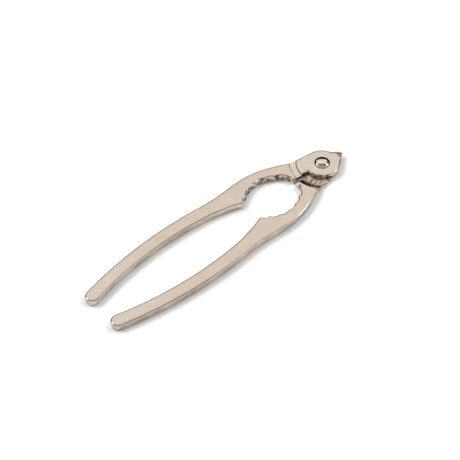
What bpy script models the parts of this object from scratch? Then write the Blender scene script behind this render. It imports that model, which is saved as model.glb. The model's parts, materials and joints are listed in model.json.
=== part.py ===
"""Plier-type nutcracker: two identical flat levers, half-lapped on one domed rivet.

Metres, +Z up. The nutcracker lies flat on z = 0, slightly open, handles towards -X.
Both levers are one casting: the front lever is the rear lever turned over about X.
The front lever swings about the rivet's axis, which is parallel to Z.
"""

from math import acos, atan2, cos, hypot, pi, radians, sin, sqrt, tan

import bmesh
import bpy
from mathutils import Vector

MM = 0.001

# Overall
THICKNESS = 4.0 * MM
NOSE_REACH = 14.6 * MM
TIP_REACH = 155.4 * MM
PIVOT_X = (TIP_REACH - NOSE_REACH) / 2
EDGE_ROUND = 0.35 * MM
CLEARANCE = 0.3 * MM
CUT_MARGIN = 3.0 * MM

# Head: a round eye with a pointed nose, and the half-lap that the other lever's eye fills
HEAD_RADIUS = 9.75 * MM
NECK_TANGENT = radians(83)
NOSE_TURN = radians(-4)
NOSE_UPPER_ROOT = radians(17)
NOSE_LOWER_ROOT = radians(-50)
NOSE_HOLLOW = (11.6 * MM, 0.75 * MM)
LAP_RADIUS = 19.6 * MM
LAP_CREST_RADIUS = 18.2 * MM
LAP_FLAT_RADIUS = 15.0 * MM
LAP_RISE = 1.15 * MM
GROOVE_RADII = (14.4 * MM, 18.2 * MM)
GROOVE_DEPTH = 0.35 * MM
FACING_RADIUS = 10.5 * MM
FACING_STEP = 0.2 * MM
FACING_DROP = 1.6 * MM
FACING_SECTOR = (radians(-50), radians(28))

# Lug beside the lap, and the small relief where its edge meets the eye
LUG_RADIUS = 20.6 * MM
LUG_ANGLE = radians(3.5)
LUG_ROOT = (-21.4 * MM, 5.9 * MM)
RELIEF_RADIUS = 0.65 * MM

# Neck and jaw: the outer edge, from the eye to the handle
OUTER_STATIONS = [
    (-4.0 * MM, 10.45 * MM),
    (-12.0 * MM, 11.5 * MM),
    (-16.0 * MM, 12.95 * MM),
    (-22.0 * MM, 15.8 * MM),
    (-30.0 * MM, 18.6 * MM),
    (-38.0 * MM, 20.15 * MM),
    (-46.0 * MM, 20.4 * MM),
    (-54.0 * MM, 19.9 * MM),
    (-62.0 * MM, 19.6 * MM),
]
# Jaw: a hollow of shallow scallops, then a beak that runs back into the handle
HOLLOW_CENTRE = (-37.0 * MM, -5.0 * MM)
HOLLOW_RADIUS = 17.8 * MM
CUSP_ANGLES = [radians(54 + 18 * step) for step in range(5)]
SCALLOP_DEPTH = 0.95 * MM
BEAK_POINT = (-51.6 * MM, 6.9 * MM)
BEAK_STATIONS = [
    (-64.5 * MM, 10.3 * MM),
    (-59.5 * MM, 9.1 * MM),
    (-55.0 * MM, 7.7 * MM),
    (-52.8 * MM, 6.75 * MM),
]

# Handle: two long arcs that bow outwards, closed by a round tip
OUTER_BOW_X = -95.0 * MM
OUTER_BOW_Y = 21.2 * MM
OUTER_BOW_RADIUS = 239.0 * MM
OUTER_BOW_START_X = -70.0 * MM
INNER_BOW_X = -98.0 * MM
INNER_BOW_Y = 13.3 * MM
INNER_BOW_RADIUS = 210.0 * MM
INNER_BOW_END_X = -70.0 * MM
TIP_RADIUS = 3.85 * MM

# Rivet
SHANK_RADIUS = 2.5 * MM
BORE_RADIUS = SHANK_RADIUS + CLEARANCE
SINK_RADIUS = 4.2 * MM
SINK_DEPTH = 1.1 * MM
DOME_RADIUS = 4.4 * MM
DOME_HEIGHT = 1.15 * MM
DOME_RIM = 0.3 * MM

# Facets of the round stretches
BOW_STEPS = 16
SPAN_STEPS = 4
RELIEF_STEPS = 12
SCALLOP_STEPS = 5
EYE_STEPS = 40
CUTTER_STEPS = 96
RIVET_STEPS = 48
DOME_STEPS = 8
FACING_STEPS = 24
BEAK_STEPS = 2
SHARP_ANGLE = radians(35)

SATIN_NICKEL = {"color": (0.66, 0.58, 0.50, 1.0), "roughness": 0.38, "metallic": 1.0}
BRIGHT_NICKEL = {"color": (0.70, 0.66, 0.61, 1.0), "roughness": 0.12, "metallic": 1.0}


def clear_scene():
    for obj in list(bpy.data.objects):
        bpy.data.objects.remove(obj, do_unlink=True)


def material(name, finish):
    made = bpy.data.materials.new(name)
    made.use_nodes = True
    shader = made.node_tree.nodes["Principled BSDF"]
    shader.inputs["Base Color"].default_value = finish["color"]
    shader.inputs["Roughness"].default_value = finish["roughness"]
    shader.inputs["Metallic"].default_value = finish["metallic"]
    return made


def arc(centre, radius, start, end, steps):
    """Points from angle start to angle end, both included."""
    turn = (end - start) / steps
    return [
        (centre[0] + radius * cos(start + turn * i), centre[1] + radius * sin(start + turn * i))
        for i in range(steps + 1)
    ]


def smooth_path(stations, steps):
    """A Catmull-Rom curve through the stations, without its last point."""
    points = [Vector(station) for station in stations]
    points.insert(0, 2 * points[0] - points[1])
    points.append(2 * points[-1] - points[-2])
    path = []
    for before, start, end, after in zip(points, points[1:], points[2:], points[3:]):
        for i in range(steps):
            t = i / steps
            place = (
                2 * start
                + (end - before) * t
                + (2 * before - 5 * start + 4 * end - after) * t * t
                + (3 * start - before - 3 * end + after) * t * t * t
            )
            path.append(tuple(place / 2))
    return path


def bulged(start, end, depth, steps):
    """The inside of a shallow arc from start to end that bulges to its left by depth."""
    chord = Vector(end) - Vector(start)
    left = Vector((-chord.y, chord.x)).normalized()
    path = []
    for i in range(1, steps):
        t = i / steps
        path.append(tuple(Vector(start) + chord * t + left * (4 * depth * t * (1 - t))))
    return path


def handle_outline():
    """Outer bow, round tip and inner bow, each running on from the last."""
    outer_centre = (OUTER_BOW_X, OUTER_BOW_Y - OUTER_BOW_RADIUS)
    inner_centre = (INNER_BOW_X, INNER_BOW_Y - INNER_BOW_RADIUS)
    tip_x = TIP_RADIUS - TIP_REACH
    reach = OUTER_BOW_RADIUS - TIP_RADIUS
    tip_y = outer_centre[1] + sqrt(reach**2 - (tip_x - OUTER_BOW_X) ** 2)

    outer_end = atan2(tip_y - outer_centre[1], tip_x - outer_centre[0])
    outer_start = acos((OUTER_BOW_START_X - OUTER_BOW_X) / OUTER_BOW_RADIUS)
    inner_start = atan2(tip_y - inner_centre[1], tip_x - inner_centre[0])
    inner_radius = hypot(tip_x - inner_centre[0], tip_y - inner_centre[1]) - TIP_RADIUS
    inner_end = acos((INNER_BOW_END_X - INNER_BOW_X) / inner_radius)

    outer = arc(outer_centre, OUTER_BOW_RADIUS, outer_start, outer_end, BOW_STEPS)
    tip = arc((tip_x, tip_y), TIP_RADIUS, outer_end, inner_start + pi, BOW_STEPS)
    inner = arc(inner_centre, inner_radius, inner_start, inner_end, BOW_STEPS)
    return outer, tip[1:-1], inner


def jaw_outline():
    """The beak, the scalloped hollow and the lug's root, running towards the pivot."""
    cusps = [BEAK_POINT]
    for angle in CUSP_ANGLES:
        cusps.append(
            (
                HOLLOW_CENTRE[0] - HOLLOW_RADIUS * cos(angle),
                HOLLOW_CENTRE[1] + HOLLOW_RADIUS * sin(angle),
            )
        )
    cusps.append(LUG_ROOT)
    path = []
    for start, end in zip(cusps, cusps[1:]):
        path.append(start)
        path += bulged(start, end, SCALLOP_DEPTH, SCALLOP_STEPS)
    path.append(LUG_ROOT)
    return path


def lug_outline():
    """From the lug's corner in along its radial edge, ending in the relief beside the eye."""
    along = Vector((-cos(LUG_ANGLE), sin(LUG_ANGLE)))
    corner = along * LUG_RADIUS
    relief = along * (HEAD_RADIUS + RELIEF_RADIUS)
    start = pi - LUG_ANGLE
    return [tuple(corner)] + arc(tuple(relief), RELIEF_RADIUS, start, start - pi, RELIEF_STEPS)


def eye_outline():
    """Round the underside of the eye, out along the nose and back to the neck's tangent."""
    lower = arc((0, 0), HEAD_RADIUS, pi + LUG_ANGLE / 2, 2 * pi + NOSE_LOWER_ROOT, EYE_STEPS)
    tip = (NOSE_REACH, NOSE_REACH * tan(NOSE_TURN))
    upper = arc((0, 0), HEAD_RADIUS, NOSE_UPPER_ROOT, NECK_TANGENT, EYE_STEPS // 3)
    return lower + [tip, NOSE_HOLLOW] + upper


def lever_outline():
    """The lever seen from above, counter-clockwise about a pivot at the origin."""
    outer, tip, inner = handle_outline()
    eye = eye_outline()
    neck = smooth_path([eye[-1]] + OUTER_STATIONS + [outer[0]], SPAN_STEPS)
    beak = smooth_path([inner[-1]] + BEAK_STATIONS, BEAK_STEPS) + [BEAK_STATIONS[-1]]
    return neck + outer + tip + inner[:-1] + beak + jaw_outline() + lug_outline() + eye[:-1]


def slab(name, outline, thickness, rounding):
    """The outline raised to the thickness, with its two rims rounded."""
    mesh = bpy.data.meshes.new(name)
    shape = bmesh.new()
    base = shape.faces.new([shape.verts.new((x, y, 0)) for x, y in outline])
    base.normal_flip()
    raised = bmesh.ops.extrude_face_region(shape, geom=[base], use_keep_orig=True)
    top = [item for item in raised["geom"] if isinstance(item, bmesh.types.BMVert)]
    bmesh.ops.translate(shape, verts=top, vec=(0, 0, thickness))
    bmesh.ops.recalc_face_normals(shape, faces=shape.faces)
    rims = [edge for edge in shape.edges if edge.verts[0].co.z == edge.verts[1].co.z]
    bmesh.ops.bevel(shape, geom=rims, offset=rounding, segments=2, profile=0.5, affect="EDGES")
    shape.to_mesh(mesh)
    shape.free()
    return mesh


def turned(name, profile, steps):
    """The closed profile of (radius, z) points turned about Z."""
    mesh = bpy.data.meshes.new(name)
    shape = bmesh.new()
    points = [shape.verts.new((radius, 0, z)) for radius, z in profile]
    edges = [shape.edges.new(pair) for pair in zip(points, points[1:])]
    if profile[0][0] > 0:
        edges.append(shape.edges.new((points[-1], points[0])))
    bmesh.ops.spin(
        shape,
        geom=points + edges,
        cent=(0, 0, 0),
        axis=(0, 0, 1),
        angle=2 * pi,
        steps=steps,
        use_merge=True,
    )
    bmesh.ops.remove_doubles(shape, verts=shape.verts, dist=1e-7)
    bmesh.ops.recalc_face_normals(shape, faces=shape.faces)
    shape.to_mesh(mesh)
    shape.free()
    return mesh


def add(name, mesh, finish=None):
    obj = bpy.data.objects.new(name, mesh)
    bpy.context.scene.collection.objects.link(obj)
    if finish:
        mesh.materials.append(finish)
    return obj


def cutter(name, mesh, lever):
    tool = add(name, mesh)
    tool.hide_render = True
    tool.display_type = "WIRE"
    cut = lever.modifiers.new(name, "BOOLEAN")
    cut.operation = "DIFFERENCE"
    cut.solver = "EXACT"
    cut.object = tool
    return tool


def lap_cutter():
    """Clears half the thickness for the other lever's eye, then ramps out to a curved lip."""
    floor = (THICKNESS + CLEARANCE) / 2
    crest = floor - LAP_RISE
    profile = [(0, floor), (LAP_FLAT_RADIUS, floor), (LAP_CREST_RADIUS, crest)]
    for i in range(1, SPAN_STEPS + 1):
        turn = pi / 2 * i / SPAN_STEPS
        run = (LAP_RADIUS - LAP_CREST_RADIUS) * (1 - cos(turn))
        profile.append((LAP_CREST_RADIUS + run, crest * (1 - sin(turn))))
    profile += [(LAP_RADIUS, -CUT_MARGIN), (0, -CUT_MARGIN)]
    return turned("lap_cutter", profile, CUTTER_STEPS)


def groove_cutter():
    inner, outer = GROOVE_RADII
    floor = THICKNESS - GROOVE_DEPTH
    roof = THICKNESS + CUT_MARGIN
    profile = [(inner, roof), (outer, roof), (outer, floor), (inner, floor)]
    return turned("groove_cutter", profile, CUTTER_STEPS)


def bore_cutter():
    """A bore with a cone-shaped sink at the outer face."""
    roof = THICKNESS + CUT_MARGIN
    profile = [
        (0, roof),
        (SINK_RADIUS, roof),
        (SINK_RADIUS, THICKNESS),
        (BORE_RADIUS, THICKNESS - SINK_DEPTH),
        (BORE_RADIUS, -CUT_MARGIN),
        (0, -CUT_MARGIN),
    ]
    return turned("bore_cutter", profile, RIVET_STEPS)


def nose_cutter():
    """Sets the nose's outer face below the eye's, along an arc about the pivot, and slopes it."""
    reach = NOSE_REACH + CUT_MARGIN
    roof = THICKNESS + CUT_MARGIN
    step = THICKNESS - FACING_STEP
    low = THICKNESS - FACING_DROP
    start, end = FACING_SECTOR
    mesh = bpy.data.meshes.new("nose_cutter")
    shape = bmesh.new()
    corners = [(FACING_RADIUS, step), (reach, low), (reach, roof), (FACING_RADIUS, roof)]
    section = [
        shape.verts.new((radius * cos(start), radius * sin(start), z)) for radius, z in corners
    ]
    face = shape.faces.new(section)
    bmesh.ops.spin(
        shape, geom=[face], cent=(0, 0, 0), axis=(0, 0, 1), angle=end - start, steps=FACING_STEPS
    )
    bmesh.ops.recalc_face_normals(shape, faces=shape.faces)
    shape.to_mesh(mesh)
    shape.free()
    return mesh


def lever_mesh(finish):
    """The finished casting, outer face up, with the pivot's axis at its origin."""
    blank = add("lever_blank", slab("lever_blank", lever_outline(), THICKNESS, EDGE_ROUND), finish)
    tools = [
        cutter("lap", lap_cutter(), blank),
        cutter("groove", groove_cutter(), blank),
        cutter("nose", nose_cutter(), blank),
        cutter("bore", bore_cutter(), blank),
    ]
    bpy.context.view_layer.update()
    graph = bpy.context.evaluated_depsgraph_get()
    mesh = bpy.data.meshes.new_from_object(blank.evaluated_get(graph))
    mesh.name = "lever"
    for obj in [blank] + tools:
        bpy.data.objects.remove(obj, do_unlink=True)
    mesh.shade_smooth()
    mesh.set_sharp_from_angle(angle=SHARP_ANGLE)
    return mesh


def rivet_mesh():
    """A domed head above, a shank through both eyes and a flush cone-shaped tail below."""
    head_base = THICKNESS + CLEARANCE
    profile = [
        (0, 0),
        (SINK_RADIUS - CLEARANCE, 0),
        (SHANK_RADIUS, SINK_DEPTH),
        (SHANK_RADIUS, head_base),
        (DOME_RADIUS, head_base),
        (DOME_RADIUS, head_base + DOME_RIM),
    ]
    for i in range(1, DOME_STEPS + 1):
        turn = pi / 2 * i / DOME_STEPS
        profile.append((DOME_RADIUS * cos(turn), head_base + DOME_RIM + DOME_HEIGHT * sin(turn)))
    profile[-1] = (0, profile[-1][1])
    mesh = turned("rivet", profile, RIVET_STEPS)
    mesh.shade_smooth()
    mesh.set_sharp_from_angle(angle=SHARP_ANGLE)
    return mesh


def build():
    clear_scene()
    pivot = bpy.data.objects.new("pivot_axis", None)
    pivot.location = (PIVOT_X, 0, 0)
    bpy.context.scene.collection.objects.link(pivot)

    satin = material("satin_nickel", SATIN_NICKEL)
    bright = material("bright_nickel", BRIGHT_NICKEL)
    casting = lever_mesh(satin)

    rear = add("rear_lever", casting)
    front = add("front_lever", casting)
    front.rotation_euler = (pi, 0, 0)
    front.location = (0, 0, THICKNESS)
    rivet = add("pivot_rivet", rivet_mesh(), bright)
    for obj in (rear, front, rivet):
        obj.parent = pivot


build()
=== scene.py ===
"""Looks of a plier-type nutcracker: two plated levers, ground flat, on one domed rivet.

Metres, +Z up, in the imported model's frame. Both levers are one casting. Its outline is
read from the CAD solid and drawn finer, and each lever is built about its own pivot.
"""

import json
from math import acos, cos, pi, radians, sin, tan
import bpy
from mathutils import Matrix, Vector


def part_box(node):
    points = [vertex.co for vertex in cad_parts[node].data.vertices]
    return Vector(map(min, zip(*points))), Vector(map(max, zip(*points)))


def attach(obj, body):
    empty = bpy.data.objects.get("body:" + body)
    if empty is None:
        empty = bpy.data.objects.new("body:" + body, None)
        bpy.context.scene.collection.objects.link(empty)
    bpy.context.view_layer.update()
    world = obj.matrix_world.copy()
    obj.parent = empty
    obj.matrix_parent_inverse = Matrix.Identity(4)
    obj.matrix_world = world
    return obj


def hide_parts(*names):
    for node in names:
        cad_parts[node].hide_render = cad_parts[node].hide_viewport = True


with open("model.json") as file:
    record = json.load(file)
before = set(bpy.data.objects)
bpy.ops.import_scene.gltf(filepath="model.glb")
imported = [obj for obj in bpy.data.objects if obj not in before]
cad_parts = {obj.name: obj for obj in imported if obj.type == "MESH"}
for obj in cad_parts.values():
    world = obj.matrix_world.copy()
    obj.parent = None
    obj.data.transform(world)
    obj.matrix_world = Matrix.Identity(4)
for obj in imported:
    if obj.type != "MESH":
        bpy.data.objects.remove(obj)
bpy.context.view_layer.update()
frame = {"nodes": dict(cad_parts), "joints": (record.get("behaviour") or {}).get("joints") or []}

from types import SimpleNamespace

import bmesh
import bpy
from mathutils import Vector

MM = 0.001

# Places and sizes that the frame gives
PIVOT_X = frame["joints"][0]["pos_m"][0]
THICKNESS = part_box("rear_lever")[1].z
HEAD_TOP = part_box("pivot_rivet")[1].z

# Outline of the casting: where it is read, and how finely it is drawn
SLICE_HEIGHT = 0.66 * THICKNESS
CORNER_TURN = radians(26)
STRAIGHT_TURN = radians(0.2)
OUTLINE_STEP = 0.45 * MM
CORNER_MARGIN = 1.15

# Blank: its rims are buffed over wider than they are deep
RIM_WIDTH = 1.2 * MM
RIM_DEPTH = 0.5 * MM
RIM_SEGMENTS = 7
WALL_ROWS = 6

# Half-lap seat: flat near the pivot, then a ramp, then a lip that falls to the underside
LAP_GAP = 0.06 * MM
LAP_FLAT_RADIUS = 15.0 * MM
LAP_CREST_RADIUS = 18.2 * MM
LAP_RADIUS = 19.6 * MM
LAP_RISE = 1.15 * MM
LAP_RAMP_STEPS = 4
LAP_LIP_STEPS = 8

# Groove across the neck
GROOVE_RADII = (14.4 * MM, 18.2 * MM)
GROOVE_DEPTH = 0.35 * MM
GROOVE_LIP = 0.14 * MM
GROOVE_LIP_STEPS = 4

# Sloped facing on the nose
FACING_RADIUS = 10.5 * MM
FACING_REACH = 17.6 * MM
FACING_STEP = 0.2 * MM
FACING_DROP = 1.6 * MM
FACING_SECTOR = (radians(-50), radians(28))
FACING_STEPS = 64

# Bore, and how all the cuts are made
BORE_RADIUS = 2.6 * MM
SINK_RADIUS = 4.3 * MM
SINK_DEPTH = 1.1 * MM
CUT_MARGIN = 3.0 * MM
CUTTER_STEPS = 256

# Rivet: a domed head, whose crown stays below the CAD head's, and a peened tail
SHANK_RADIUS = 2.5 * MM
HEAD_RADIUS = 4.35 * MM
HEAD_SEAT = 0.02 * MM
HEAD_RIM = 0.15 * MM
HEAD_DROP = 0.25 * MM
DOME_STEPS = 20
RIVET_STEPS = 160

# Meshes: points closer than these are one point, and edges that turn more than this stay sharp
WELD = 0.001 * MM
FINE_WELD = 0.0001 * MM
SLIVER = 0.002 * MM
SHARP_ANGLE = radians(38)
NORMAL_WEIGHT = 100

# Camera: the middle of its view, and where it stands from there
VIEW_CENTRE = (0.39 * MM, -2.89 * MM, 3.83 * MM)
VIEW_HEADING = radians(-41.365)
VIEW_ELEVATION = radians(49.5)
VIEW_DISTANCE = 792.4 * MM
VIEW_LENS_MM = 117.39
VIEW_CLIP_START = 10 * MM

# Zones of the casting, about its pivot. Each pair is where one finish starts to give way to the
# next, and where it has gone. JAW_CENTRE is the middle of the scalloped hollow
RIM_ZONE = (0.52 * MM, 0.3 * MM)
FACE_HEIGHT = (0.66 * THICKNESS, 0.72 * THICKNESS)
UNDERSIDE_HEIGHT = (0.02 * THICKNESS, 0.06 * THICKNESS)
FLAT_NORMAL = (0.965, 0.99)
JAW_CENTRE = (-37.0 * MM, -5.0 * MM, 0)
JAW_RADII = (19.2 * MM, 20.6 * MM)
NECK_RADII = (20.0 * MM, 22.0 * MM)
NECK_SIDE = (-4.0 * MM, -1.0 * MM)
EYE_SIDE = (-26.0 * MM, -10.0 * MM)
TIP_SIDE = (-148.0 * MM, -105.0 * MM)
LINE_WIDTH = (0.11 * MM, 0.33 * MM)
LINE_HEIGHT = (0.8 * THICKNESS, 0.85 * THICKNESS)
LINE_SIDE = (-4.0 * MM, -2.0 * MM)

# Noise on the casting: size of the blotches, detail, stretch along each axis, and seed. The pairs
# are the noise values between which a finish changes
STREAKS = {"size": 0.25 * MM, "detail": 4, "stretch": (0.06, 1, 1)}
CLOUD = {"size": 5 * MM, "detail": 4, "seed": 3}
SPECKLE = {"size": 0.55 * MM, "detail": 3, "seed": 7}
SWELL = {"size": 7 * MM, "detail": 2, "seed": 11}
PATCHES = {"size": 1.7 * MM, "detail": 2, "stretch": (1, 1, 0.6), "seed": 17}
SMEARS = {"size": 0.8 * MM, "detail": 3, "stretch": (0.35, 1, 1), "seed": 23}
MID_NOISE = (0.3, 0.7)
CLOUD_EDGE = (0.4, 0.6)
PATCH_EDGE = (0.5, 0.62)
SMEAR_EDGE = (0.4, 0.64)

# Colours of the casting: a pair is blended by a noise. The shares are how strongly the specks
# and the painted shade in the seat show
# Face colours: the first at the tips and the eye, the second darker and pinker along the middle of
# each lever
LEVER_ENDS = ((0.61, 0.515, 0.42, 1), (0.71, 0.61, 0.505, 1))
MID_LEVER = ((0.59, 0.47, 0.375, 1), (0.68, 0.555, 0.455, 1))
WALLS = ((0.56, 0.45, 0.365, 1), (0.82, 0.72, 0.62, 1))
# Painted shade: the rounded rims a little darker than the faces, standing in for the dark
# reflections along the edges
RIM_SHADE = ((0.64, 0.56, 0.48, 1), (0.54, 0.46, 0.38, 1))
# Painted shade and painted reflection in the half-lap seat, from near black to copper
SEAT_SHADE = ((0.09, 0.075, 0.06, 1), (0.58, 0.41, 0.30, 1))
# Painted shade: near-black blotches on the walls of the jaw hollow and the neck
JAW_SHADE = (0.12, 0.09, 0.07, 1)
# Painted shade: dark lines in the corners of the neck's groove
GROOVE_SHADE = (0.10, 0.085, 0.07, 1)
WHITE = (1, 1, 1, 1)
SPECKLE_SHARE = 0.2
SEAT_SHADE_SHARE = 0.85

# Roughness of the casting, and how deep its textures are
FACE_ROUGHNESS = (0.31, 0.39)
CLOUD_ROUGHNESS = (-0.03, 0.03)
WALL_ROUGHNESS = (0.10, 0.19)
GRAIN_DEPTH = 0.0035 * MM
WALL_DEPTH = 0.015 * MM
JAW_DEPTH = 0.22 * MM
SEAT_DEPTH = 0.12 * MM
RING_PITCH = 0.8 * MM

# Rivet's polish
HEAD_CLOUD = {"size": 1.5 * MM, "detail": 3, "seed": 2}
HEAD_MARKS = {"size": 0.2 * MM, "detail": 4, "stretch": (1, 0.15, 1), "seed": 5}
HEAD_COLORS = ((0.53, 0.465, 0.40, 1), (0.62, 0.555, 0.485, 1))
HEAD_MARK_EDGE = (0.4, 0.75)
HEAD_ROUGHNESS = (0.07, 0.16)
HEAD_DENT = 0.012 * MM

# Floor
FLOOR_SIZE = 6.0
PAPER_COLOR = (0.9, 0.9, 0.9, 1)
PAPER_ROUGHNESS = 0.9

# Room: how bright each side is, between which directions it changes, and how much of it
# the matt floor does without
ROOM_DARK = 0.02
ROOM_OVERHEAD = 0.42
ROOM_NEAR = 0.75
ROOM_HIGH = (0.5, 0.95)
ROOM_LOW = (0.0, 0.2)
ROOM_FRONT = (-0.5, 0.05)
ROOM_DIFFUSE_CUT = 0.6
LIGHT_DISTANCE = 2.0


def arc(centre, radius, start, end, steps):
    """Points from angle start to angle end, both included."""
    turn = (end - start) / steps
    return [
        (centre[0] + radius * cos(start + turn * i), centre[1] + radius * sin(start + turn * i))
        for i in range(steps + 1)
    ]


def turn_at(before, point, after):
    """The angle by which a path turns at a point."""
    first = (point - before).normalized()
    second = (after - point).normalized()
    return acos(max(-1.0, min(1.0, first.dot(second))))


def longest_loop(shape):
    """The longest closed run of edges, as a list of 2-D points."""
    loops = []
    used = set()
    for start in shape.verts:
        path = []
        step = start
        while step and step not in used:
            used.add(step)
            path.append(step.co.to_2d())
            ahead = [edge.other_vert(step) for edge in step.link_edges]
            step = next((vert for vert in ahead if vert not in used), None)
        loops.append(path)
    return max(loops, key=len)


def cad_outline(node):
    """The node's outline about its pivot, counter-clockwise, without points on straight runs."""
    shape = bmesh.new()
    shape.from_mesh(frame["nodes"][node].data)
    bmesh.ops.remove_doubles(shape, verts=shape.verts, dist=WELD)
    bmesh.ops.bisect_plane(
        shape,
        geom=shape.verts[:] + shape.edges[:] + shape.faces[:],
        plane_co=(0, 0, SLICE_HEIGHT),
        plane_no=(0, 0, 1),
        clear_inner=True,
        clear_outer=True,
    )
    bmesh.ops.remove_doubles(shape, verts=shape.verts, dist=WELD)
    path = [point - Vector((PIVOT_X, 0)) for point in longest_loop(shape)]
    shape.free()
    kept = [
        path[i]
        for i in range(len(path))
        if turn_at(path[i - 1], path[i], path[(i + 1) % len(path)]) > STRAIGHT_TURN
    ]
    area = sum(a.x * b.y - b.x * a.y for a, b in zip(kept, kept[1:] + kept[:1]))
    return kept if area > 0 else kept[::-1]


def tangents(points):
    """Directions (arriving, leaving) of a round curve through the points, broken at corners.

    On each side of a corner, the run bends as it does at its other end.
    """
    found = []
    count = len(points)
    for i in range(count):
        before = points[i] - points[i - 1]
        after = points[(i + 1) % count] - points[i]
        middle = before.normalized() * after.length + after.normalized() * before.length
        corner = turn_at(points[i - 1], points[i], points[(i + 1) % count]) > CORNER_TURN
        found.append(None if corner else middle.normalized())
    pairs = []
    for i in range(count):
        if found[i]:
            pairs.append((found[i], found[i]))
            continue
        before = (points[i] - points[i - 1]).normalized()
        after = (points[(i + 1) % count] - points[i]).normalized()
        last = found[i - 1] or before
        following = found[(i + 1) % count] or after
        pairs.append(
            (2 * before.dot(last) * before - last, 2 * after.dot(following) * after - following)
        )
    return pairs


def finer(points, step):
    """The closed path drawn with points about a step apart, round between its corners."""
    directions = tangents(points)
    path = []
    for i, start in enumerate(points):
        end = points[(i + 1) % len(points)]
        length = (end - start).length
        leave = directions[i][1] * length
        arrive = directions[(i + 1) % len(points)][0] * length
        steps = max(1, round(length / step))
        for k in range(steps):
            t = k / steps
            path.append(
                start * (2 * t**3 - 3 * t**2 + 1)
                + leave * (t**3 - 2 * t**2 + t)
                + end * (3 * t**2 - 2 * t**3)
                + arrive * (t**3 - t**2)
            )
    return path


def clear_corners(path):
    """The path without points that would fold over when its sharp outward corners are rounded."""
    sharp = []
    for i, point in enumerate(path):
        before, after = path[i - 1], path[(i + 1) % len(path)]
        turn = turn_at(before, point, after)
        left = (point - before).cross(after - point) > 0
        if left and turn > CORNER_TURN:
            sharp.append((point, RIM_WIDTH * tan(turn / 2) * CORNER_MARGIN))
    return [
        point
        for point in path
        if all(point == corner or (point - corner).length > reach for corner, reach in sharp)
    ]


def slab(name, outline):
    """The outline raised to the thickness, its wall in rows and its two rims rounded.

    It is built too tall and then pressed down, which leaves the rims wider than deep.
    """
    too_tall = RIM_WIDTH / RIM_DEPTH
    mesh = bpy.data.meshes.new(name)
    shape = bmesh.new()
    base = shape.faces.new([shape.verts.new((x, y, 0)) for x, y in outline])
    base.normal_flip()
    raised = bmesh.ops.extrude_face_region(shape, geom=[base], use_keep_orig=True)
    top = [item for item in raised["geom"] if isinstance(item, bmesh.types.BMVert)]
    bmesh.ops.translate(shape, verts=top, vec=(0, 0, THICKNESS * too_tall))
    bmesh.ops.recalc_face_normals(shape, faces=shape.faces)
    rims = [edge for edge in shape.edges if edge.verts[0].co.z == edge.verts[1].co.z]
    bmesh.ops.bevel(
        shape, geom=rims, offset=RIM_WIDTH, segments=RIM_SEGMENTS, profile=0.5, affect="EDGES"
    )
    upright = [
        edge for edge in shape.edges if abs(edge.verts[0].co.z - edge.verts[1].co.z) > THICKNESS
    ]
    bmesh.ops.subdivide_edges(shape, edges=upright, cuts=WALL_ROWS - 1, use_grid_fill=True)
    bmesh.ops.scale(shape, vec=(1, 1, 1 / too_tall), verts=shape.verts)
    shape.to_mesh(mesh)
    shape.free()
    return mesh


def turned(name, profile, steps, start=0.0, sweep=2 * pi):
    """The closed profile of (radius, z) points turned about Z."""
    mesh = bpy.data.meshes.new(name)
    shape = bmesh.new()
    points = [shape.verts.new((r * cos(start), r * sin(start), z)) for r, z in profile]
    whole = sweep == 2 * pi
    if whole:
        section = points + [shape.edges.new(pair) for pair in zip(points, points[1:])]
        if profile[0][0] > 0:
            section.append(shape.edges.new((points[-1], points[0])))
    else:
        section = [shape.faces.new(points)]
    bmesh.ops.spin(
        shape,
        geom=section,
        cent=(0, 0, 0),
        axis=(0, 0, 1),
        angle=sweep,
        steps=steps,
        use_merge=whole,
    )
    bmesh.ops.remove_doubles(shape, verts=shape.verts, dist=FINE_WELD)
    bmesh.ops.recalc_face_normals(shape, faces=shape.faces)
    shape.to_mesh(mesh)
    shape.free()
    return mesh


def add(name, mesh):
    obj = bpy.data.objects.new(name, mesh)
    bpy.context.scene.collection.objects.link(obj)
    return obj


def lap_profile():
    """Clears half the thickness round the pivot: flat under the eye, then ramped to a soft lip."""
    floor = (THICKNESS + LAP_GAP) / 2
    crest = floor - LAP_RISE
    path = [(0, floor), (LAP_FLAT_RADIUS, floor)]
    for i in range(1, LAP_RAMP_STEPS + 1):
        share = i / LAP_RAMP_STEPS
        run = (LAP_CREST_RADIUS - LAP_FLAT_RADIUS) * share
        path.append((LAP_FLAT_RADIUS + run, floor - LAP_RISE * share))
    for i in range(1, LAP_LIP_STEPS + 1):
        turn = pi / 2 * i / LAP_LIP_STEPS
        run = (LAP_RADIUS - LAP_CREST_RADIUS) * (1 - cos(turn))
        path.append((LAP_CREST_RADIUS + run, crest * (1 - sin(turn))))
    return path + [(LAP_RADIUS, -CUT_MARGIN), (0, -CUT_MARGIN)]


def groove_profile():
    """A shallow channel with rounded lips."""
    inner, outer = GROOVE_RADII
    floor = THICKNESS - GROOVE_DEPTH
    roof = THICKNESS + CUT_MARGIN
    edge = THICKNESS - GROOVE_LIP
    near = arc((inner - GROOVE_LIP, edge), GROOVE_LIP, pi / 2, 0, GROOVE_LIP_STEPS)
    far = arc((outer + GROOVE_LIP, edge), GROOVE_LIP, pi, pi / 2, GROOVE_LIP_STEPS)
    channel = near + [(inner, floor), (outer, floor)] + far
    return [(near[0][0], roof)] + channel + [(far[-1][0], roof)]


def nose_profile():
    """Sets the nose's outer face a step below the eye's, and slopes it."""
    roof = THICKNESS + CUT_MARGIN
    step = THICKNESS - FACING_STEP
    low = THICKNESS - FACING_DROP
    return [(FACING_RADIUS, step), (FACING_REACH, low), (FACING_REACH, roof), (FACING_RADIUS, roof)]


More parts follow.
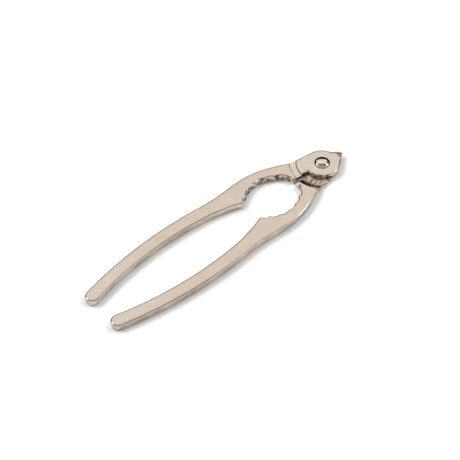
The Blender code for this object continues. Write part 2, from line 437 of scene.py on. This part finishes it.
def bore_profile():
    """A bore with a cone-shaped sink at the outer face."""
    roof = THICKNESS + CUT_MARGIN
    return [
        (0, roof),
        (SINK_RADIUS, roof),
        (SINK_RADIUS, THICKNESS),
        (BORE_RADIUS, THICKNESS - SINK_DEPTH),
        (BORE_RADIUS, -CUT_MARGIN),
        (0, -CUT_MARGIN),
    ]


def tidy_cuts(mesh):
    """Closes up the slivers that the cuts leave."""
    shape = bmesh.new()
    shape.from_mesh(mesh)
    bmesh.ops.remove_doubles(shape, verts=shape.verts, dist=SLIVER)
    bmesh.ops.dissolve_degenerate(shape, edges=shape.edges, dist=SLIVER)
    shape.to_mesh(mesh)
    shape.free()


def casting_mesh():
    """The finished casting about its pivot, outer face up."""
    outline = clear_corners(finer(cad_outline("rear_lever"), OUTLINE_STEP))
    blank = add("blank", slab("blank", outline))
    start, end = FACING_SECTOR
    tools = [
        add("lap", turned("lap", lap_profile(), CUTTER_STEPS)),
        add("groove", turned("groove", groove_profile(), CUTTER_STEPS)),
        add("nose", turned("nose", nose_profile(), FACING_STEPS, start, end - start)),
        add("bore", turned("bore", bore_profile(), CUTTER_STEPS)),
    ]
    for tool in tools:
        cut = blank.modifiers.new(tool.name, "BOOLEAN")
        cut.operation = "DIFFERENCE"
        cut.solver = "MANIFOLD"
        cut.object = tool
    bpy.context.view_layer.update()
    graph = bpy.context.evaluated_depsgraph_get()
    mesh = bpy.data.meshes.new_from_object(blank.evaluated_get(graph))
    mesh.name = "casting"
    for obj in [blank] + tools:
        bpy.data.objects.remove(obj, do_unlink=True)
    tidy_cuts(mesh)
    return mesh


def rivet_mesh():
    """Domed head above, shank through both eyes, and a tail peened into the lower sink."""
    base = THICKNESS + HEAD_SEAT
    dome_base = base + HEAD_RIM
    crown = HEAD_TOP - HEAD_DROP
    height = crown - dome_base
    profile = [
        (0, 0),
        (SINK_RADIUS - HEAD_SEAT, 0),
        (SHANK_RADIUS, SINK_DEPTH),
        (SHANK_RADIUS, base),
        (HEAD_RADIUS - HEAD_RIM / 2, base),
        (HEAD_RADIUS, dome_base),
    ]
    for i in range(1, DOME_STEPS + 1):
        turn = pi / 2 * i / DOME_STEPS
        profile.append((HEAD_RADIUS * cos(turn), dome_base + height * sin(turn)))
    profile[-1] = (0, crown)
    return turned("rivet", profile, RIVET_STEPS)


def soften(obj):
    """Smooth shading that keeps flat faces flat."""
    obj.data.shade_smooth()
    obj.data.set_sharp_from_angle(angle=SHARP_ANGLE)
    weighted = obj.modifiers.new("weighted_normals", "WEIGHTED_NORMAL")
    weighted.weight = NORMAL_WEIGHT
    weighted.keep_sharp = True


def place(obj, body, node):
    """Puts the piece on its body, in the CAD node's stead."""
    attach(obj, body)
    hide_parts(node)


def make(tree, kind, inputs=(), **settings):
    """A shader node with its settings and its inputs: values, or sockets to link."""
    made = tree.nodes.new("ShaderNode" + kind)
    for name, value in settings.items():
        setattr(made, name, value)
    for name, value in dict(inputs).items():
        if isinstance(value, bpy.types.NodeSocket):
            tree.links.new(value, made.inputs[name])
        else:
            made.inputs[name].default_value = value
    return made


def calc(tree, operation, first, second=0.0):
    return make(tree, "Math", {0: first, 1: second}, operation=operation).outputs[0]


def product(tree, first, *others):
    """All the values multiplied together."""
    for other in others:
        first = calc(tree, "MULTIPLY", first, other)
    return first


def distance(tree, first, second):
    """How far apart two numbers are."""
    return calc(tree, "ABSOLUTE", calc(tree, "SUBTRACT", first, second))


def vector(tree, operation, output, first, *second):
    """The named output of a vector operation."""
    inputs = dict(enumerate((first, *second)))
    return make(tree, "VectorMath", inputs, operation=operation).outputs[output]


def ramp(tree, value, start, end, low=0.0, high=1.0):
    """Value mapped smoothly from start..end to low..high."""
    limits = {
        "Value": value,
        "From Min": start,
        "From Max": end,
        "To Min": low,
        "To Max": high,
    }
    made = make(tree, "MapRange", limits, interpolation_type="SMOOTHSTEP")
    return made.outputs["Result"]


def noise(tree, point, size, detail, stretch=(1, 1, 1), seed=0.0):
    """Noise from 0 to 1 whose blotches are about size across."""
    scaled = vector(tree, "MULTIPLY", "Vector", point, stretch)
    settings = {"Vector": scaled, "W": seed, "Scale": 1 / size, "Detail": detail}
    return make(tree, "TexNoise", settings, noise_dimensions="4D").outputs["Fac"]


def blend(tree, share, first, second):
    """First colour where share is 0, second where it is 1."""
    made = make(tree, "Mix", data_type="RGBA")
    for socket, value in ((0, share), (6, first), (7, second)):
        if isinstance(value, bpy.types.NodeSocket):
            tree.links.new(value, made.inputs[socket])
        else:
            made.inputs[socket].default_value = value
    return made.outputs[2]


def metal(name):
    """A metal material: its tree, its shader and its object coordinates."""
    made = bpy.data.materials.new(name)
    made.use_nodes = True
    shader = made.node_tree.nodes["Principled BSDF"]
    shader.inputs["Metallic"].default_value = 1.0
    coordinates = make(made.node_tree, "TexCoord")
    return made, made.node_tree, shader, coordinates


def dent(tree, height, depth, before=None):
    """A bump as deep as depth where height runs from 0 to 1."""
    inputs = {"Height": height, "Distance": depth, "Strength": 1.0}
    if before:
        inputs["Normal"] = before
    return make(tree, "Bump", inputs).outputs["Normal"]


def groove_corners(tree, radius, x, z):
    """1 in the corners of the groove across the neck, where shade is painted in as dark lines."""
    inner, outer = (
        ramp(tree, distance(tree, radius, corner), *LINE_WIDTH, 1, 0) for corner in GROOVE_RADII
    )
    either = calc(tree, "MAXIMUM", inner, outer)
    return product(tree, either, ramp(tree, z, *LINE_HEIGHT), ramp(tree, x, *LINE_SIDE, 1, 0))


def casting_zones(tree, coordinates):
    """The casting's zones, each 1 inside and 0 outside, and the distance from the pivot."""
    point = coordinates.outputs["Object"]
    split = make(tree, "SeparateXYZ", {0: point})
    x, z = split.outputs["X"], split.outputs["Z"]
    facing = make(tree, "SeparateXYZ", {0: coordinates.outputs["Normal"]}).outputs["Z"]
    across = vector(tree, "MULTIPLY", "Vector", point, (1, 1, 0))
    radius = vector(tree, "LENGTH", "Value", across)
    from_jaw = vector(tree, "DISTANCE", "Value", across, JAW_CENTRE)

    flat = ramp(tree, calc(tree, "ABSOLUTE", facing), *FLAT_NORMAL)
    wall = calc(tree, "SUBTRACT", 1.0, flat)
    underside = ramp(tree, z, *UNDERSIDE_HEIGHT, 1, 0)
    ground = product(tree, flat, calc(tree, "ADD", ramp(tree, z, *FACE_HEIGHT), underside))
    rim_start, rim_end = (THICKNESS / 2 - depth for depth in RIM_ZONE)
    skin = ramp(tree, distance(tree, z, THICKNESS / 2), rim_start, rim_end)
    hollow = ramp(tree, from_jaw, *JAW_RADII, 1, 0)
    neck = product(tree, ramp(tree, radius, *NECK_RADII, 1, 0), ramp(tree, x, *NECK_SIDE, 1, 0))
    return SimpleNamespace(
        radius=radius,
        ground=ground,
        seat=calc(tree, "SUBTRACT", flat, ground),
        wall=wall,
        rim=product(tree, skin, wall),
        jaw=product(tree, wall, calc(tree, "MAXIMUM", hollow, neck)),
        mid_lever=product(tree, ramp(tree, x, *EYE_SIDE, 1, 0), ramp(tree, x, *TIP_SIDE)),
        lines=groove_corners(tree, radius, x, z),
    )


def casting_noise(tree, coordinates):
    """The noises that mark the casting."""
    point = coordinates.outputs["Object"]
    return SimpleNamespace(
        streaks=noise(tree, point, **STREAKS),
        cloud=noise(tree, point, **CLOUD),
        speckle=noise(tree, point, **SPECKLE),
        swell=noise(tree, point, **SWELL),
        patches=noise(tree, point, **PATCHES),
        smears=noise(tree, point, **SMEARS),
    )


def casting_color(tree, zone, mark):
    """Faces darker and pinker mid-lever, then walls; then painted shade on the rims, the seat,
    the jaw hollow and the corners of the groove, with painted reflection in the seat.
    """
    # Faces darker and pinker along the middle of the lever than at its tip and eye
    lever_ends = blend(tree, mark.cloud, *LEVER_ENDS)
    mid_lever = blend(tree, mark.cloud, *MID_LEVER)
    satin = blend(tree, zone.mid_lever, lever_ends, mid_lever)
    pale = blend(tree, SPECKLE_SHARE, satin, WHITE)
    satin = blend(tree, ramp(tree, mark.speckle, *MID_NOISE), satin, pale)
    walls = blend(tree, ramp(tree, mark.swell, *MID_NOISE), *WALLS)
    # Rims painted darker: painted shade for the dark reflections along the edges
    rim_shade = blend(tree, ramp(tree, mark.cloud, *CLOUD_EDGE), *RIM_SHADE)
    seat_shade = blend(tree, ramp(tree, mark.smears, *SMEAR_EDGE), *SEAT_SHADE)
    # Painted shade in blotches on the jaw hollow's and neck's walls
    jaw_shade = product(tree, zone.jaw, ramp(tree, mark.patches, *PATCH_EDGE))

    color = blend(tree, zone.ground, walls, satin)
    color = blend(tree, zone.rim, color, rim_shade)
    # The seat painted dark and copper: painted shade and reflection under the other lever's eye
    color = blend(tree, ramp(tree, zone.seat, 0, 1, 0, SEAT_SHADE_SHARE), color, seat_shade)
    color = blend(tree, jaw_shade, color, JAW_SHADE)
    # Dark lines painted into the groove's corners: painted shade
    return blend(tree, zone.lines, color, GROOVE_SHADE)


def casting_roughness(tree, zone, mark):
    """Satin where the face is ground, glossy everywhere else."""
    grain = ramp(tree, mark.streaks, *MID_NOISE, *FACE_ROUGHNESS)
    clouding = ramp(tree, mark.cloud, *MID_NOISE, *CLOUD_ROUGHNESS)
    dull = calc(tree, "ADD", grain, clouding)
    glossy = ramp(tree, mark.swell, *MID_NOISE, *WALL_ROUGHNESS)
    return make(tree, "Mix", {0: zone.ground, 2: glossy, 3: dull}).outputs[0]


def casting_relief(tree, zone, mark):
    """Uneven walls, pitted hollows and seats, rings left by turning, and the grain of grinding."""
    wave = calc(tree, "SINE", calc(tree, "MULTIPLY", zone.radius, 2 * pi / RING_PITCH))
    rings = ramp(tree, wave, -1, 1)
    normal = dent(tree, product(tree, mark.swell, zone.wall), WALL_DEPTH)
    normal = dent(tree, product(tree, mark.patches, zone.jaw), JAW_DEPTH, normal)
    normal = dent(tree, product(tree, mark.smears, zone.seat), SEAT_DEPTH, normal)
    normal = dent(tree, product(tree, rings, zone.seat), GRAIN_DEPTH, normal)
    return dent(tree, product(tree, mark.streaks, zone.ground), GRAIN_DEPTH, normal)


def satin_nickel():
    """Nickel plate: ground flat on the broad faces, bright and uneven on walls and seats."""
    made, tree, shader, coordinates = metal("satin_nickel")
    zone = casting_zones(tree, coordinates)
    mark = casting_noise(tree, coordinates)
    tree.links.new(casting_color(tree, zone, mark), shader.inputs["Base Color"])
    tree.links.new(casting_roughness(tree, zone, mark), shader.inputs["Roughness"])
    tree.links.new(casting_relief(tree, zone, mark), shader.inputs["Normal"])
    return made


def bright_nickel():
    """Polished nickel with faint handling marks."""
    made, tree, shader, coordinates = metal("bright_nickel")
    point = coordinates.outputs["Object"]
    cloud = noise(tree, point, **HEAD_CLOUD)
    marks = noise(tree, point, **HEAD_MARKS)
    roughness = ramp(tree, marks, *HEAD_MARK_EDGE, *HEAD_ROUGHNESS)
    tree.links.new(blend(tree, cloud, *HEAD_COLORS), shader.inputs["Base Color"])
    tree.links.new(roughness, shader.inputs["Roughness"])
    tree.links.new(dent(tree, cloud, HEAD_DENT), shader.inputs["Normal"])
    return made


def levers():
    """One casting for the rear lever, and its copy turned over for the front lever."""
    satin = satin_nickel()
    rear = add("rear_lever_casting", casting_mesh())
    rear.data.materials.clear()
    rear.data.materials.append(satin)
    rear.location = (PIVOT_X, 0, 0)
    front = add("front_lever_casting", rear.data.copy())
    front.rotation_euler = (pi, 0, 0)
    front.location = (PIVOT_X, 0, THICKNESS)
    for obj, body in ((rear, "rear"), (front, "front")):
        soften(obj)
        place(obj, body, body + "_lever")


def rivet():
    obj = add("domed_rivet", rivet_mesh())
    obj.data.materials.append(bright_nickel())
    obj.location = (PIVOT_X, 0, 0)
    soften(obj)
    place(obj, "rear", "pivot_rivet")


def floor():
    half = FLOOR_SIZE / 2
    mesh = bpy.data.meshes.new("floor")
    corners = [(-half, -half, 0), (half, -half, 0), (half, half, 0), (-half, half, 0)]
    mesh.from_pydata(corners, [], [(0, 1, 2, 3)])
    obj = add("floor", mesh)
    paper = bpy.data.materials.new("paper")
    paper.use_nodes = True
    shader = paper.node_tree.nodes["Principled BSDF"]
    shader.inputs["Base Color"].default_value = PAPER_COLOR
    shader.inputs["Roughness"].default_value = PAPER_ROUGHNESS
    shader.inputs["Specular IOR Level"].default_value = 0.0
    mesh.materials.append(paper)


def outward(heading, elevation):
    """The direction at a heading, where 0 is away from the camera, and an elevation."""
    turn = VIEW_HEADING - heading
    return Vector((-sin(turn) * cos(elevation), cos(turn) * cos(elevation), sin(elevation)))


def softbox(name, heading, elevation, width, height, power, mirrored=True):
    """A rectangular light that faces the object, and that the metal mirrors or not."""
    light = bpy.data.lights.new(name, "AREA")
    light.shape = "RECTANGLE"
    light.size = width
    light.size_y = height
    light.energy = power
    obj = bpy.data.objects.new(name, light)
    away = outward(radians(heading), radians(elevation))
    obj.visible_glossy = mirrored
    obj.location = Vector(VIEW_CENTRE) + away * LIGHT_DISTANCE
    obj.rotation_mode = "QUATERNION"
    obj.rotation_quaternion = away.to_track_quat("Z", "Y")
    bpy.context.scene.collection.objects.link(obj)


def room_strength(tree):
    """Dark behind the object, dim overhead, and lighter on the camera's side and beside it."""
    way = make(tree, "TexCoord").outputs["Generated"]
    height = make(tree, "SeparateXYZ", {0: way}).outputs["Z"]
    nearness = vector(tree, "DOT_PRODUCT", "Value", way, tuple(outward(pi, 0.0)))
    near = product(tree, ramp(tree, nearness, *ROOM_FRONT), ramp(tree, height, *ROOM_LOW))
    above = ramp(tree, height, *ROOM_HIGH, ROOM_DARK, ROOM_OVERHEAD)
    return calc(tree, "MAXIMUM", above, calc(tree, "MULTIPLY", near, ROOM_NEAR))


def surroundings():
    """A white backdrop where the camera sees it, over the room that the metal mirrors."""
    world = bpy.data.worlds.new("studio")
    world.use_nodes = True
    bpy.context.scene.world = world
    tree = world.node_tree
    tree.nodes.clear()
    path = make(tree, "LightPath").outputs
    cut = calc(tree, "MULTIPLY", path["Is Diffuse Ray"], ROOM_DIFFUSE_CUT)
    strength = product(tree, room_strength(tree), calc(tree, "SUBTRACT", 1.0, cut))
    room = make(tree, "Background", {"Strength": strength}).outputs["Background"]
    backdrop = make(tree, "Background", {"Color": WHITE}).outputs["Background"]
    mix = make(tree, "MixShader", {0: path["Is Camera Ray"], 1: room, 2: backdrop})
    make(tree, "OutputWorld", {"Surface": mix.outputs["Shader"]})


def camera():
    data = bpy.data.cameras.new("camera")
    data.lens = VIEW_LENS_MM
    data.clip_start = VIEW_CLIP_START
    obj = bpy.data.objects.new("camera", data)
    back = outward(pi, VIEW_ELEVATION)
    obj.location = Vector(VIEW_CENTRE) + back * VIEW_DISTANCE
    obj.rotation_mode = "QUATERNION"
    obj.rotation_quaternion = (-back).to_track_quat("-Z", "Y")
    bpy.context.scene.collection.objects.link(obj)
    bpy.context.scene.camera = obj


camera()
surroundings()
softbox("back_panel", heading=0, elevation=48, width=1.7, height=1.0, power=6.0)
softbox("left_key", heading=-68, elevation=42, width=1.9, height=1.4, power=36, mirrored=False)
softbox("right_key", heading=60, elevation=46, width=1.2, height=1.2, power=17, mirrored=False)
softbox("left_strip", heading=-64, elevation=53, width=0.55, height=0.5, power=5.0)
softbox("right_panel", heading=70, elevation=48, width=1.2, height=0.8, power=3.4)
softbox("right_strip", heading=56, elevation=51, width=0.26, height=0.26, power=1.0)
floor()
levers()
rivet()
bpy.context.scene.view_settings.view_transform = "Standard"
